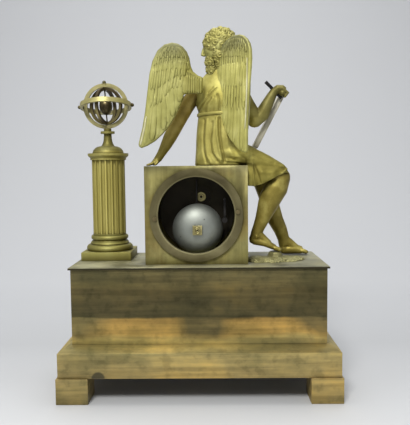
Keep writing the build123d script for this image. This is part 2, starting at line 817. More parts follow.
with BuildPart() as globe:
    with BuildSketch(Plane(SPHERE_CENTRE, MERIDIAN_PLANE.x_dir, MERIDIAN_PLANE.z_dir)):
        with BuildLine():
            EllipticalCenterArc((0, 0), GLOBE_R, GLOBE_H / 2, start_angle=-90, arc_size=180)
            Line((0, GLOBE_H / 2), (0, -GLOBE_H / 2))
        make_face()
    revolve(axis=Axis(SPHERE_CENTRE, POLE))
    pole_rod(-RING_INNER, RING_INNER, POLE_R)

# Movement case and the rings round its openings
with BuildPart() as case_shell:
    with BuildSketch(Plane((CASE_X, CASE_Y, DECK_Z))):
        Rectangle(CASE_W, CASE_D)
    extrude(amount=CASE_H)
    with BuildSketch(Plane((CASE_X, CASE_Y, DECK_Z + CASE_T))):
        Rectangle(CASE_W - 2 * CASE_T, CASE_D - 2 * CASE_T)
    extrude(amount=CASE_H - 2 * CASE_T, mode=Mode.SUBTRACT)
    bar(CENTRE_PLACE, FRONT_Y, REAR_Y, PORT_R, Mode.SUBTRACT)
    with BuildSketch(Plane((CASE_X, PENDULUM_PLANE_Y, DECK_Z))):
        Rectangle(SLOT_W, SLOT_D)
    extrude(amount=CASE_T, mode=Mode.SUBTRACT)
    for bolt_x, bolt_y in CASE_BOLTS:
        bolt_hole(bolt_x, bolt_y, DECK_Z, DECK_Z + CASE_T)
    for bolt_x, bolt_y in FIGURE_BOLTS:
        bolt_hole(bolt_x, bolt_y, SEAT_Z - CASE_T, SEAT_Z)

SPIGOT_R = PORT_R - SEAT_GAP
STRAP_PLACES = [polar(STRAP_RADIUS, STRAP_TILT), polar(STRAP_RADIUS, STRAP_TILT + 180)]
STRAP_BACK_Y = REAR_Y - REAR_RING_T - STRAP_BACK_GAP
RING_BACK_Y = REAR_Y + REAR_RING_T

with BuildPart() as rear_bezel:
    bar(CENTRE_PLACE, REAR_Y, RING_BACK_Y, RING_R)
    bar(CENTRE_PLACE, REAR_Y - REAR_RING_T, REAR_Y, SPIGOT_R)
    bar(CENTRE_PLACE, REAR_Y - REAR_RING_T, RING_BACK_Y, RING_BORE_R, Mode.SUBTRACT)
    for strap_place in STRAP_PLACES:
        bar(strap_place, REAR_Y - REAR_RING_T, RING_BACK_Y, STRAP_SCREW_R + RUNNING_GAP, Mode.SUBTRACT)

with BuildPart() as strap_screws:
    for strap_place in STRAP_PLACES:
        bar(strap_place, RING_BACK_Y, RING_BACK_Y + STRAP_HEAD_H, STRAP_HEAD_R)
        bar(strap_place, STRAP_BACK_Y - STRAP_SCREW_GRIP, RING_BACK_Y, STRAP_SCREW_R)

with BuildPart() as movement_straps:
    for strap_place in STRAP_PLACES:
        block(strap_place, SPIGOT_Y, STRAP_BACK_Y, STRAP_T, STRAP_W, STRAP_TILT)
        screw_gap_r = STRAP_SCREW_R + RUNNING_GAP
        bar(strap_place, STRAP_BACK_Y - STRAP_SCREW_GRIP, STRAP_BACK_Y, screw_gap_r, Mode.SUBTRACT)

# Hinge of the glass bezel, on the side of the dial's three o'clock
FRONT_RING_Y = FRONT_Y - FRONT_RING_T
BEZEL_BACK_Y = FRONT_RING_Y - SEAT_GAP
BEZEL_FRONT_Y = BEZEL_BACK_Y - BEZEL_T
HINGE_X = CASE_X + HINGE_RADIUS
HINGE_Y = BEZEL_BACK_Y - KNUCKLE_R
SIDE_KNUCKLE_Z = MIDDLE_KNUCKLE_H / 2 + SEAT_GAP


def knuckle(z_low, height, leaf_back_y, leaf_front_y, radius=KNUCKLE_R):
    """A hinge knuckle with its leaf, bored for the pin."""
    with BuildSketch(Plane((HINGE_X, HINGE_Y, z_low))) as barrel:
        Circle(radius)
    extrude(barrel.sketch, amount=height)
    leaf_y = (leaf_back_y + leaf_front_y) / 2
    with BuildSketch(Plane((HINGE_X - HINGE_LEAF_W / 2, leaf_y, z_low))) as leaf:
        Rectangle(HINGE_LEAF_W, leaf_back_y - leaf_front_y)
    extrude(leaf.sketch, amount=height)
    with BuildSketch(Plane((HINGE_X, HINGE_Y, z_low))) as bore:
        Circle(HINGE_PIN_R + RUNNING_GAP)
    extrude(bore.sketch, amount=height, mode=Mode.SUBTRACT)


with BuildPart() as front_bezel:
    bar(CENTRE_PLACE, FRONT_RING_Y, FRONT_Y, RING_R)
    bar(CENTRE_PLACE, FRONT_Y, SPIGOT_Y, SPIGOT_R)
    bar(CENTRE_PLACE, FRONT_Y, SPIGOT_Y, SPIGOT_BORE_R, Mode.SUBTRACT)
    bar(CENTRE_PLACE, FRONT_RING_Y, FRONT_Y, RING_BORE_R, Mode.SUBTRACT)
    knuckle(AXIS_Z + SIDE_KNUCKLE_Z, KNUCKLE_H, FRONT_Y, FRONT_RING_Y)
    knuckle(AXIS_Z - SIDE_KNUCKLE_Z - KNUCKLE_H, KNUCKLE_H, FRONT_Y, FRONT_RING_Y)
    for ear_z in (AXIS_Z + SIDE_KNUCKLE_Z, AXIS_Z - SIDE_KNUCKLE_Z - KNUCKLE_H):
        ear_y = (FRONT_Y + HINGE_Y) / 2
        with BuildSketch(Plane((HINGE_X + (KNUCKLE_R + HINGE_PIN_R) / 2, ear_y, ear_z))):
            Rectangle(KNUCKLE_R - HINGE_PIN_R - RUNNING_GAP, FRONT_Y - HINGE_Y)
        extrude(amount=KNUCKLE_H)
        with BuildSketch(Plane((HINGE_X, (FRONT_Y + FRONT_RING_Y) / 2, ear_z))):
            Rectangle(2 * KNUCKLE_R, FRONT_RING_T)
        extrude(amount=KNUCKLE_H)

with BuildPart() as glass_bezel:
    bar(CENTRE_PLACE, BEZEL_FRONT_Y, BEZEL_BACK_Y, BEZEL_R)
    bar(CENTRE_PLACE, BEZEL_FRONT_Y, BEZEL_BACK_Y, RING_BORE_R, Mode.SUBTRACT)
    glass_front_y = BEZEL_FRONT_Y + GLASS_SETBACK
    bar(CENTRE_PLACE, glass_front_y, BEZEL_BACK_Y, GLASS_R, Mode.SUBTRACT)
    knuckle(AXIS_Z - MIDDLE_KNUCKLE_H / 2, MIDDLE_KNUCKLE_H, BEZEL_BACK_Y, BEZEL_BACK_Y - 2 * KNUCKLE_R)
    block((-BEZEL_R, 0), BEZEL_FRONT_Y + GLASS_SETBACK, BEZEL_BACK_Y, CATCH_SIZE, CATCH_SIZE)

with BuildPart() as dial_glass:
    bar(CENTRE_PLACE, glass_front_y, glass_front_y + GLASS_T, GLASS_R - RUNNING_GAP)

with BuildPart() as hinge_pin:
    with BuildSketch(Plane((HINGE_X, HINGE_Y, AXIS_Z - SIDE_KNUCKLE_Z - KNUCKLE_H))):
        Circle(HINGE_PIN_R)
    extrude(amount=2 * (SIDE_KNUCKLE_Z + KNUCKLE_H))

with BuildPart() as dial:
    bar(CENTRE_PLACE, FRONT_Y, DIAL_BACK_Y, DIAL_R)
    for foot_angle in DIAL_FOOT_ANGLES:
        bar(polar(DIAL_FOOT_RADIUS, foot_angle), DIAL_BACK_Y, WORK_FRONT_Y, DIAL_FOOT_R)
    bar(CENTRE_PLACE, FRONT_Y, DIAL_BACK_Y, DIAL_HOLE_R, Mode.SUBTRACT)
    for winding_place in (GOING_PLACE, STRIKE_PLACE):
        bar(winding_place, FRONT_Y, DIAL_BACK_Y, WINDING_HOLE_R, Mode.SUBTRACT)

# Movement plates and pillars
PIVOT_PLACES = (THIRD_PLACE, ESCAPE_PLACE, ANCHOR_PLACE, PIN_PLACE, HAMMER_PLACE, CENTRE_PLACE)
PILLAR_PLACES = [polar(PILLAR_RADIUS, angle) for angle in PILLAR_ANGLES]
PIVOT_HOLE_R = PIVOT_R + RUNNING_GAP
ARBOR_HOLE_R = ARBOR_R + RUNNING_GAP
BARREL_HOLE_R = BARREL_ARBOR_R + RUNNING_GAP

with BuildPart() as front_plate:
    bar(CENTRE_PLACE, WORK_FRONT_Y, WORK_INNER_Y, WORK_R)
    for pivot_place in PIVOT_PLACES[:-1]:
        bar(pivot_place, WORK_FRONT_Y, WORK_INNER_Y, PIVOT_HOLE_R, Mode.SUBTRACT)
    bar(CENTRE_PLACE, WORK_FRONT_Y, WORK_INNER_Y, ARBOR_HOLE_R, Mode.SUBTRACT)
    for winding_place in (GOING_PLACE, STRIKE_PLACE):
        bar(winding_place, WORK_FRONT_Y, WORK_INNER_Y, BARREL_HOLE_R, Mode.SUBTRACT)
    motion_post_y = WORK_FRONT_Y - 2 * MOTION_CLEAR - 2 * MOTION_WHEEL_T - HOUR_WHEEL_CLEAR
    bar(MOTION_PLACE, motion_post_y, WORK_FRONT_Y, MOTION_POST_R)

REAR_ARBORS = (ANCHOR_PLACE, PIN_PLACE, HAMMER_PLACE)
with BuildPart() as back_plate:
    bar(CENTRE_PLACE, WORK_FAR_Y, WORK_BACK_Y, WORK_R)
    for pivot_place in PIVOT_PLACES:
        hole_r = ARBOR_HOLE_R if pivot_place in REAR_ARBORS else PIVOT_HOLE_R
        bar(pivot_place, WORK_FAR_Y, WORK_BACK_Y, hole_r, Mode.SUBTRACT)
    for winding_place in (GOING_PLACE, STRIKE_PLACE):
        bar(winding_place, WORK_FAR_Y, WORK_BACK_Y, BARREL_HOLE_R, Mode.SUBTRACT)
    COLLET_Y = WORK_BACK_Y + TRANSFER_CLEAR + TRANSFER_T + COUNT_CLEAR + COUNT_T
    bar(COUNT_PLACE, WORK_BACK_Y, COLLET_Y + COLLET_T, STUD_R)

with BuildPart() as pillars:
    for pillar_place in PILLAR_PLACES:
        bar(pillar_place, WORK_INNER_Y, WORK_FAR_Y, PILLAR_R)

# Going train
BARREL_FRONT_Y = WORK_INNER_Y + BARREL_CLEAR
BARREL_BACK_Y = BARREL_FRONT_Y + BARREL_H + BARREL_WHEEL_T
CENTRE_Y = WORK_INNER_Y + CENTRE_WHEEL_Y
THIRD_Y = WORK_INNER_Y + THIRD_WHEEL_Y
ESCAPE_Y = WORK_INNER_Y + ESCAPE_WHEEL_Y
PIN_Y = WORK_INNER_Y + PIN_WHEEL_Y


def pair_module(first, second, first_teeth, second_teeth):
    """Tooth size of a pair that meshes across two places."""
    return 2 * span(first, second) / (first_teeth + second_teeth)


def gap_angle(first, second, teeth):
    """Tooth angle that sets a gap of the second wheel on the line to the first."""
    return bearing(second, first) + 180 / teeth


GOING_MODULE = pair_module(GOING_PLACE, CENTRE_PLACE, BARREL_TEETH, CENTRE_LEAVES)
CENTRE_MODULE = pair_module(CENTRE_PLACE, THIRD_PLACE, CENTRE_TEETH, THIRD_LEAVES)
THIRD_MODULE = pair_module(THIRD_PLACE, ESCAPE_PLACE, THIRD_TEETH, ESCAPE_LEAVES)
STRIKE_MODULE = pair_module(STRIKE_PLACE, PIN_PLACE, BARREL_TEETH, PIN_LEAVES)
COUNT_MODULE = pair_module(PIN_PLACE, COUNT_PLACE, COUNT_TEETH, COUNT_TEETH)
CANNON_MODULE = pair_module(CENTRE_PLACE, MOTION_PLACE, CANNON_TEETH, MOTION_TEETH)
HOUR_MODULE = pair_module(CENTRE_PLACE, MOTION_PLACE, HOUR_TEETH, MOTION_LEAVES)


def barrel(place, wheel_front_y, module, tooth_angle):
    """A spring barrel with its toothed rim, bored for the winding arbor."""
    with BuildPart() as built:
        bar(place, BARREL_FRONT_Y, BARREL_BACK_Y, BARREL_R)
        toothed(place, wheel_front_y, wheel_front_y + BARREL_WHEEL_T, BARREL_TEETH, module, tooth_angle)
        bar(place, BARREL_FRONT_Y, BARREL_BACK_Y, BARREL_HOLE_R, Mode.SUBTRACT)
    return built


def winding_arbor(place):
    """A barrel arbor with its winding square in front of the dial."""
    with BuildPart() as built:
        bar(place, WORK_FRONT_Y, WORK_BACK_Y, BARREL_ARBOR_R)
        block(place, FRONT_Y - WINDING_PROUD, WORK_FRONT_Y, WINDING_SQUARE, WINDING_SQUARE)
    return built


going_barrel = barrel(
    GOING_PLACE, BARREL_BACK_Y - BARREL_WHEEL_T, GOING_MODULE, bearing(GOING_PLACE, CENTRE_PLACE)
)
strike_barrel = barrel(STRIKE_PLACE, BARREL_FRONT_Y, STRIKE_MODULE, bearing(STRIKE_PLACE, PIN_PLACE))
going_arbor = winding_arbor(GOING_PLACE)
strike_arbor = winding_arbor(STRIKE_PLACE)

HOUR_HAND_Y = FRONT_Y - HAND_CLEAR
MINUTE_HAND_Y = HOUR_HAND_Y - HAND_T - HAND_CLEAR
MOTION_Y = WORK_FRONT_Y - MOTION_CLEAR
HOUR_WHEEL_Y = MOTION_Y - MOTION_WHEEL_T - HOUR_WHEEL_CLEAR

with BuildPart() as centre_wheel:
    bar(CENTRE_PLACE, WORK_FAR_Y - ARBOR_SHAKE, WORK_BACK_Y, PIVOT_R)
    bar(CENTRE_PLACE, MINUTE_HAND_Y - HAND_T, WORK_FAR_Y - ARBOR_SHAKE, ARBOR_R)
    toothed(CENTRE_PLACE, CENTRE_Y, CENTRE_Y + WHEEL_T, CENTRE_TEETH, CENTRE_MODULE,
            bearing(CENTRE_PLACE, THIRD_PLACE))
    toothed(CENTRE_PLACE, BARREL_BACK_Y - BARREL_WHEEL_T - RUNNING_GAP, CENTRE_Y, CENTRE_LEAVES,
            GOING_MODULE, gap_angle(GOING_PLACE, CENTRE_PLACE, CENTRE_LEAVES))

with BuildPart() as third_wheel:
    arbor(THIRD_PLACE, WORK_INNER_Y, WORK_FAR_Y, FINE_ARBOR_R)
    toothed(THIRD_PLACE, CENTRE_Y - RUNNING_GAP, THIRD_Y, THIRD_LEAVES, CENTRE_MODULE,
            gap_angle(CENTRE_PLACE, THIRD_PLACE, THIRD_LEAVES))
    toothed(THIRD_PLACE, THIRD_Y, THIRD_Y + WHEEL_T, THIRD_TEETH, THIRD_MODULE,
            bearing(THIRD_PLACE, ESCAPE_PLACE))

with BuildPart() as escape_wheel:
    arbor(ESCAPE_PLACE, WORK_INNER_Y, WORK_FAR_Y, FINE_ARBOR_R)
    toothed(ESCAPE_PLACE, THIRD_Y - RUNNING_GAP, THIRD_Y + WHEEL_T + RUNNING_GAP, ESCAPE_LEAVES,
            THIRD_MODULE, gap_angle(THIRD_PLACE, ESCAPE_PLACE, ESCAPE_LEAVES))
    escape_points = []
    for tooth in range(ESCAPE_TEETH):
        for turn, radius in ((0, ESCAPE_R), (TOOTH_TIP_SHARE, ESCAPE_R), (1, ESCAPE_R - ESCAPE_TOOTH_H)):
            angle = math.radians((tooth + turn) * 360 / ESCAPE_TEETH)
            escape_points.append((radius * math.cos(angle), radius * math.sin(angle)))
    with BuildSketch(facing(ESCAPE_PLACE, ESCAPE_Y + WHEEL_T)):
        with BuildLine():
            Polyline(*escape_points, close=True)
        make_face()
    extrude(amount=WHEEL_T)

# Strike side
TRANSFER_Y = WORK_BACK_Y + TRANSFER_CLEAR
with BuildPart() as pin_wheel:
    bar(PIN_PLACE, WORK_FRONT_Y, WORK_INNER_Y + ARBOR_SHAKE, PIVOT_R)
    bar(PIN_PLACE, WORK_INNER_Y + ARBOR_SHAKE, TRANSFER_Y + TRANSFER_T, ARBOR_R)
    toothed(PIN_PLACE, BARREL_FRONT_Y - RUNNING_GAP, BARREL_FRONT_Y + BARREL_WHEEL_T + RUNNING_GAP,
            PIN_LEAVES, STRIKE_MODULE, gap_angle(STRIKE_PLACE, PIN_PLACE, PIN_LEAVES))
    bar(PIN_PLACE, PIN_Y, PIN_Y + WHEEL_T, PIN_WHEEL_R)
    with BuildSketch(facing(PIN_PLACE, PIN_Y)):
        with PolarLocations(PIN_WHEEL_R - 2 * LIFT_PIN_R, LIFT_PINS):
            Circle(LIFT_PIN_R)
    extrude(amount=LIFT_PIN_L)
    toothed(PIN_PLACE, TRANSFER_Y, TRANSFER_Y + TRANSFER_T, COUNT_TEETH, COUNT_MODULE,
            bearing(PIN_PLACE, COUNT_PLACE))

COUNT_Y = TRANSFER_Y + TRANSFER_T + COUNT_CLEAR
with BuildPart() as count_wheel:
    toothed(COUNT_PLACE, TRANSFER_Y, COUNT_Y, COUNT_TEETH, COUNT_MODULE,
            gap_angle(PIN_PLACE, COUNT_PLACE, COUNT_TEETH))
    with BuildSketch(facing(COUNT_PLACE, COUNT_Y + COUNT_T)):
        Circle(COUNT_R)
        with PolarLocations(COUNT_R - COUNT_NOTCH_DEPTH / 2, COUNT_NOTCHES):
            Rectangle(COUNT_NOTCH_DEPTH, COUNT_NOTCH_W, mode=Mode.SUBTRACT)
    extrude(amount=COUNT_T)
    bar(COUNT_PLACE, COLLET_Y, COLLET_Y + COLLET_T, COLLET_R)
    bar(COUNT_PLACE, TRANSFER_Y, COLLET_Y + COLLET_T, STUD_R + RUNNING_GAP, Mode.SUBTRACT)

HEAD_RADIUS = BELL_R + HAMMER_GAP + HAMMER_HEAD_R
HEAD_PLACE = (
    HAMMER_PLACE[0],
    BELL_PLACE[1] + math.sqrt(HEAD_RADIUS**2 - (HAMMER_PLACE[0] - BELL_PLACE[0]) ** 2),
)
HEAD_Y = BELL_MOUTH_Y + HAMMER_HEAD_SET
ARM_Y = HEAD_Y + (HAMMER_HEAD_L - HAMMER_ARM_T) / 2
with BuildPart() as hammer:
    bar(HAMMER_PLACE, WORK_FRONT_Y, WORK_INNER_Y + ARBOR_SHAKE, PIVOT_R)
    bar(HAMMER_PLACE, WORK_INNER_Y + ARBOR_SHAKE, ARM_Y + HAMMER_ARM_T, ARBOR_R)
    bar(HEAD_PLACE, HEAD_Y, HEAD_Y + HAMMER_HEAD_L, HAMMER_HEAD_R)
    arm_length = HAMMER_PLACE[1] - HEAD_PLACE[1]
    arm_place = (HAMMER_PLACE[0], HEAD_PLACE[1] + (arm_length + HAMMER_ARM_W) / 2)
    block(arm_place, ARM_Y, ARM_Y + HAMMER_ARM_T, HAMMER_ARM_W, arm_length + HAMMER_ARM_W)

# Bell on its cranked stand, clear of the pendulum
BELL_TOP_INNER_Y = BELL_CROWN_Y - BELL_T
with BuildPart() as bell:
    with BuildSketch(upright(BELL_PLACE)):
        with BuildLine():
            EllipticalCenterArc((0, BELL_MOUTH_Y), BELL_R, BELL_H, start_angle=0, arc_size=90)
            Line((0, BELL_CROWN_Y), (0, BELL_TOP_INNER_Y))
            EllipticalCenterArc(
                (0, BELL_MOUTH_Y), BELL_R - BELL_T, BELL_H - BELL_T, start_angle=0, arc_size=90
            )
            Line((BELL_R - BELL_T, BELL_MOUTH_Y), (BELL_R, BELL_MOUTH_Y))
        make_face()
    revolve(axis=Axis(upright(BELL_PLACE).origin, (0, 1, 0)))
    bar(BELL_PLACE, BELL_TOP_INNER_Y - OVERRUN, BELL_CROWN_Y + OVERRUN, BELL_BORE_R, Mode.SUBTRACT)
    bar(BELL_PLACE, BELL_CROWN_Y - RUNNING_GAP, BELL_CROWN_Y + OVERRUN, BELL_SHOULDER_R, Mode.SUBTRACT)

BELL_FOOT_PLACE = (BELL_PLACE[0] + BELL_ARM_L, BELL_PLACE[1])
BELL_ARM_Y = BELL_MOUTH_Y - OVERRUN / 2
BELL_SEAT_Y = BELL_MOUTH_Y + (BELL_H - BELL_T) * math.sqrt(1 - (BELL_SHOULDER_R / (BELL_R - BELL_T)) ** 2)
with BuildPart() as bell_stand:
    arm_place = (BELL_PLACE[0] + BELL_ARM_L / 2, BELL_PLACE[1])
    block(arm_place, BELL_ARM_Y, BELL_ARM_Y + BELL_ARM_T, BELL_ARM_L, BELL_ARM_W)
    bar(BELL_PLACE, BELL_ARM_Y, BELL_SEAT_Y, BELL_SHOULDER_R)
    bar(BELL_PLACE, BELL_SEAT_Y, BELL_CROWN_Y + NUT_H + POST_PROUD, BELL_POST_R)
    bar(BELL_FOOT_PLACE, WORK_BACK_Y, BELL_ARM_Y + BELL_ARM_T, BELL_FOOT_R)

with BuildPart() as bell_nut:
    block(BELL_PLACE, BELL_CROWN_Y, BELL_CROWN_Y + NUT_H, NUT_SIDE, NUT_SIDE)
    bar(BELL_PLACE, BELL_CROWN_Y, BELL_CROWN_Y + NUT_H, BELL_POST_R + RUNNING_GAP, Mode.SUBTRACT)

# Pendulum on its cock, with the anchor and crutch
CRUTCH_FRONT_Y = WORK_BACK_Y + CRUTCH_Y
with BuildPart() as anchor:
    bar(ANCHOR_PLACE, WORK_FRONT_Y, WORK_INNER_Y + ARBOR_SHAKE, PIVOT_R)
    bar(ANCHOR_PLACE, WORK_INNER_Y + ARBOR_SHAKE, CRUTCH_FRONT_Y + CRUTCH_T, ARBOR_R)
    half_anchor = [(across * ANCHOR_HALF_SPAN, up * ANCHOR_HALF_SPAN) for across, up in ANCHOR_SHARES]
    other_half = [(-across, up) for across, up in reversed(half_anchor[1:-1])]
    with BuildSketch(facing(ANCHOR_PLACE, ESCAPE_Y + WHEEL_T)):
        with BuildLine():
            Polyline(*half_anchor, *other_half, close=True)
        make_face()
    extrude(amount=WHEEL_T)
    crutch_place = (ANCHOR_PLACE[0], ANCHOR_PLACE[1] - CRUTCH_L / 2)
    block(crutch_place, CRUTCH_FRONT_Y, CRUTCH_FRONT_Y + CRUTCH_T, CRUTCH_W, CRUTCH_L)
    fork_x = PENDULUM_R + FORK_GAP + FORK_PIN_R
    fork_z = ANCHOR_PLACE[1] - CRUTCH_L
    fork_width = 2 * (fork_x + FORK_PIN_R)
    block((0, fork_z), CRUTCH_FRONT_Y, CRUTCH_FRONT_Y + CRUTCH_T, fork_width, CRUTCH_W)
    for pin_x in (-fork_x, fork_x):
        pin_back_y = CRUTCH_FRONT_Y + CRUTCH_T + FORK_PIN_L
        bar((pin_x, fork_z), CRUTCH_FRONT_Y, pin_back_y, FORK_PIN_R)

BOB_PLACE = (ANCHOR_PLACE[0], ANCHOR_PLACE[1] - PENDULUM_L)
with BuildPart() as pendulum_rod:
    rod_top_z = AXIS_Z + ANCHOR_PLACE[1] + PENDULUM_TOP
    rod_low_z = AXIS_Z + BOB_PLACE[1] - BOB_R
    with BuildSketch(Plane((CASE_X + ANCHOR_PLACE[0], PENDULUM_PLANE_Y, rod_low_z))):
        Circle(PENDULUM_R)
    extrude(amount=rod_top_z - rod_low_z)

with BuildPart() as pendulum_bob:
    with BuildSketch(upright(BOB_PLACE, PENDULUM_PLANE_Y)):
        with BuildLine():
            Line((0, -BOB_T / 2), (BOB_R, -BOB_EDGE_T / 2))
            Line((BOB_R, -BOB_EDGE_T / 2), (BOB_R, BOB_EDGE_T / 2))
            Line((BOB_R, BOB_EDGE_T / 2), (0, BOB_T / 2))
            Line((0, BOB_T / 2), (0, -BOB_T / 2))
        make_face()
    revolve(axis=Axis(upright(BOB_PLACE, PENDULUM_PLANE_Y).origin, (0, 1, 0)))
    with BuildSketch(Plane((CASE_X + BOB_PLACE[0], PENDULUM_PLANE_Y, AXIS_Z + BOB_PLACE[1] - BOB_R - OVERRUN))):
        Circle(PENDULUM_R)
    extrude(amount=2 * (BOB_R + OVERRUN), mode=Mode.SUBTRACT)

with BuildPart() as suspension_cock:
    bar_low = ANCHOR_PLACE[1] + COCK_BAR_CLEAR
    bar_mid = (0, bar_low + COCK_BAR_H / 2)
    block(bar_mid, WORK_BACK_Y, WORK_BACK_Y + COCK_BAR_L, COCK_W, COCK_BAR_H)
    foot_low = ANCHOR_PLACE[1] + COCK_FOOT_CLEAR
    foot_mid = (0, (foot_low + bar_low + COCK_BAR_H) / 2)
    block(foot_mid, WORK_BACK_Y, WORK_BACK_Y + COCK_FOOT_T, COCK_W, bar_low + COCK_BAR_H - foot_low)

# Motion work and hands
with BuildPart() as cannon_pinion:
    toothed(CENTRE_PLACE, MOTION_Y - MOTION_WHEEL_T, MOTION_Y, CANNON_TEETH, CANNON_MODULE,
            bearing(CENTRE_PLACE, MOTION_PLACE))
    bar(CENTRE_PLACE, MINUTE_HAND_Y, MOTION_Y, CANNON_R)
    bar(CENTRE_PLACE, MINUTE_HAND_Y, MOTION_Y, ARBOR_R + RUNNING_GAP, Mode.SUBTRACT)

with BuildPart() as minute_wheel:
    toothed(MOTION_PLACE, MOTION_Y - MOTION_WHEEL_T, MOTION_Y, MOTION_TEETH, CANNON_MODULE,
            gap_angle(CENTRE_PLACE, MOTION_PLACE, MOTION_TEETH))
    toothed(MOTION_PLACE, HOUR_WHEEL_Y - MOTION_WHEEL_T, MOTION_Y - MOTION_WHEEL_T, MOTION_LEAVES,
            HOUR_MODULE, gap_angle(CENTRE_PLACE, MOTION_PLACE, MOTION_LEAVES))
    bar(MOTION_PLACE, HOUR_WHEEL_Y - MOTION_WHEEL_T, MOTION_Y, MOTION_POST_R + RUNNING_GAP, Mode.SUBTRACT)

with BuildPart() as hour_wheel:
    toothed(CENTRE_PLACE, HOUR_WHEEL_Y - MOTION_WHEEL_T, HOUR_WHEEL_Y, HOUR_TEETH, HOUR_MODULE,
            bearing(CENTRE_PLACE, MOTION_PLACE))
    bar(CENTRE_PLACE, HOUR_HAND_Y, HOUR_WHEEL_Y, HOUR_PIPE_R)
    bar(CENTRE_PLACE, HOUR_HAND_Y, HOUR_WHEEL_Y, CANNON_R + RUNNING_GAP, Mode.SUBTRACT)


def hand(length, angle, y_back, bore_r):
    """A clock hand with a hub, a round eye near its point and a short tail."""
    with BuildPart() as built:
        with BuildSketch(facing(CENTRE_PLACE, y_back)):
            half_w = HAND_W / 2
            with BuildLine():
                Polyline(
                    (-HAND_TAIL_L, -half_w),
                    (length * HAND_POINT_SHARE, -half_w / 2),
                    (length, 0),
                    (length * HAND_POINT_SHARE, half_w / 2),
                    (-HAND_TAIL_L, half_w),
                    close=True,
                )
            make_face()
            Circle(HAND_HUB_R)
            with Locations((length * HAND_SHOULDER_SHARE, 0)):
                Circle(HAND_EYE_R)
        extrude(amount=HAND_T)
        bar(CENTRE_PLACE, y_back - HAND_T, y_back, bore_r, Mode.SUBTRACT)
    turned = built.part.rotate(Axis(facing(CENTRE_PLACE, y_back).origin, (0, -1, 0)), angle)
    with BuildPart() as placed:
        add(turned)
    return placed


hour_hand = hand(HOUR_HAND_L, HOUR_HAND_ANGLE, HOUR_HAND_Y, CANNON_R + RUNNING_GAP)
minute_hand = hand(MINUTE_HAND_L, MINUTE_HAND_ANGLE, MINUTE_HAND_Y, ARBOR_R + RUNNING_GAP)


# Seated figure
def figure_place(shares):
    """A place of the figure, from the middle of its seat."""
    across, back, up = shares[:3]
    return Vector(SEAT_X + across * FIGURE_H, SEAT_Y + back * FIGURE_H, SEAT_Z + up * FIGURE_H)


def leg_place(shares):
    """A place of a leg, out from the seat and up from the deck."""
    out, back, up = shares[:3]
    return Vector(SEAT_X - out * LEG_REACH, SEAT_Y + back * LEG_REACH, DECK_Z + up * CASE_H)


def limb(places, radii):
    """A limb through circles square to the line of its places."""
    last = len(places) - 1
    with BuildPart() as built:
        for index, radius in enumerate(radii):
            along = places[min(index + 1, last)] - places[max(index - 1, 0)]
            with BuildSketch(Plane(places[index], along.cross(Vector(0, 1, 0)), along)):
                Circle(radius)
        loft(ruled=True)
    return built.part


def arm(table):
    """An arm from its table of places."""
    return limb([figure_place(row) for row in table], [row[3] * FIGURE_H for row in table])


def leg(leg_table, foot_table):
    """A leg and foot from their tables of places."""
    with BuildPart() as built:
        for table in (leg_table, foot_table):
            add(limb([leg_place(row) for row in table], [row[3] * LEG_REACH for row in table]))
    return built.part


def stacked(rings, turn):
    """A form through level ellipses, each shifted along the turned direction."""
    along = Vector(1, 0, 0).rotate(Axis.Z, turn)
    with BuildPart() as built:
        for up, shift, half_length, half_width in rings:
            middle = figure_place((0, 0, up)) + along * (shift * FIGURE_H)
            with BuildSketch(Plane(middle, along, (0, 0, 1))):
                Ellipse(half_length * FIGURE_H, half_width * FIGURE_H)
        loft(ruled=True)
    return built.part


case_block = Pos(CASE_X, CASE_Y, SEAT_Z - CASE_H / 2) * Box(CASE_W, CASE_D, CASE_H)
deck_block = Pos(0, 0, TOP_Z) * Box(TOP_W, TOP_D, 2 * TOP_T)

with BuildPart() as figure_torso:
    add(stacked([(up, 0, wide, deep) for up, wide, deep in TORSO_SHARES], TORSO_TURN))
    for bolt_x, bolt_y in FIGURE_BOLTS:
        bolt_hole(bolt_x, bolt_y, SEAT_Z, SEAT_Z + FIGURE_BOLT_GRIP)

with BuildPart() as figure_head:
    add(stacked(HEAD_SHARES, HEAD_TURN))
    add(stacked(BEARD_SHARES, HEAD_TURN))
    add(figure_torso.part, mode=Mode.SUBTRACT)

with BuildPart() as right_leg:
    add(leg(RIGHT_LEG_SHARES, RIGHT_FOOT_SHARES))
    add(figure_torso.part, mode=Mode.SUBTRACT)
    add(case_block, mode=Mode.SUBTRACT)

with BuildPart() as left_leg:
    add(leg(LEFT_LEG_SHARES, LEFT_FOOT_SHARES))
    add(figure_torso.part, mode=Mode.SUBTRACT)
    add(right_leg.part, mode=Mode.SUBTRACT)
    add(case_block, mode=Mode.SUBTRACT)
    add(deck_block, mode=Mode.SUBTRACT)

stylus_top = figure_place(STYLUS_TOP_SHARES)
stylus_tip = figure_place(STYLUS_TIP_SHARES)
with BuildPart() as stylus:
    with BuildSketch(Plane(stylus_top, z_dir=stylus_tip - stylus_top)):
        Circle(STYLUS_R)
    extrude(amount=(stylus_tip - stylus_top).length)

with BuildPart() as left_arm:
    add(arm(LEFT_ARM_SHARES))
    add(figure_torso.part, mode=Mode.SUBTRACT)
    add(case_block, mode=Mode.SUBTRACT)

with BuildPart() as right_arm:
    add(arm(RIGHT_ARM_SHARES))
    add(figure_torso.part, mode=Mode.SUBTRACT)
    add(stylus.part, mode=Mode.SUBTRACT)

